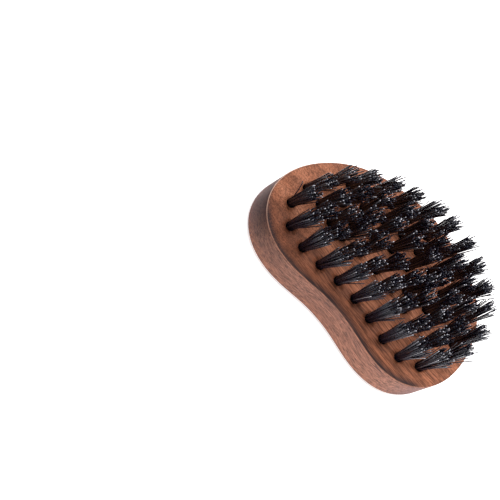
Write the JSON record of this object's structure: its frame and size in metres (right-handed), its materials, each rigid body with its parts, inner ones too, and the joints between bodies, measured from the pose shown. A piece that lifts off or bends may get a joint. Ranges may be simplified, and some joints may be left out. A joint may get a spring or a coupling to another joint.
{
  "type": "beard brush",
  "caption": "Palm-sized beard brush: a kidney-shaped walnut block with a flat back and rows of black bristle tufts set in blind holes in its face.",
  "frame": {"origin": "on the flat back of the block, under the middle of its outline", "axes": "+Z out of the bristle face, along the bristles; +X along the length of the block; +Y towards the convex long side, so the hollow waist is on the -Y side"},
  "size_m": [0.0902, 0.0558, 0.036],
  "materials": {
    "walnut": "satin oiled walnut, grain along the block",
    "bristle": "black bristles with a soft sheen and pale cut tips"
  },
  "bodies": {
    "root": {"tuft_core": "bristle", "tuft_inner_01": "bristle", "tuft_inner_02": "bristle", "tuft_inner_03": "bristle", "tuft_inner_04": "bristle", "tuft_inner_05": "bristle", "tuft_inner_06": "bristle", "tuft_inner_07": "bristle", "tuft_inner_08": "bristle", "tuft_inner_09": "bristle", "tuft_inner_10": "bristle", "tuft_inner_11": "bristle", "tuft_inner_12": "bristle", "tuft_inner_13": "bristle", "tuft_middle_01": "bristle", "tuft_middle_02": "bristle", "tuft_middle_03": "bristle", "tuft_middle_04": "bristle", "tuft_middle_05": "bristle", "tuft_middle_06": "bristle", "tuft_middle_07": "bristle", "tuft_middle_08": "bristle", "tuft_middle_09": "bristle", "tuft_middle_10": "bristle", "tuft_middle_11": "bristle", "tuft_middle_12": "bristle", "tuft_middle_13": "bristle", "tuft_middle_14": "bristle", "tuft_middle_15": "bristle", "tuft_middle_16": "bristle", "tuft_middle_17": "bristle", "tuft_middle_18": "bristle", "tuft_outer_01": "bristle", "tuft_outer_02": "bristle", "tuft_outer_03": "bristle", "tuft_outer_04": "bristle", "tuft_outer_05": "bristle", "tuft_outer_06": "bristle", "tuft_outer_07": "bristle", "tuft_outer_08": "bristle", "tuft_outer_09": "bristle", "tuft_outer_10": "bristle", "tuft_outer_11": "bristle", "tuft_outer_12": "bristle", "tuft_outer_13": "bristle", "tuft_outer_14": "bristle", "tuft_outer_15": "bristle", "tuft_outer_16": "bristle", "tuft_outer_17": "bristle", "tuft_outer_18": "bristle", "tuft_outer_19": "bristle", "tuft_outer_20": "bristle", "tuft_outer_21": "bristle", "tuft_outer_22": "bristle", "tuft_outer_23": "bristle", "wood_body": "walnut"}
  },
  "joints": []
}
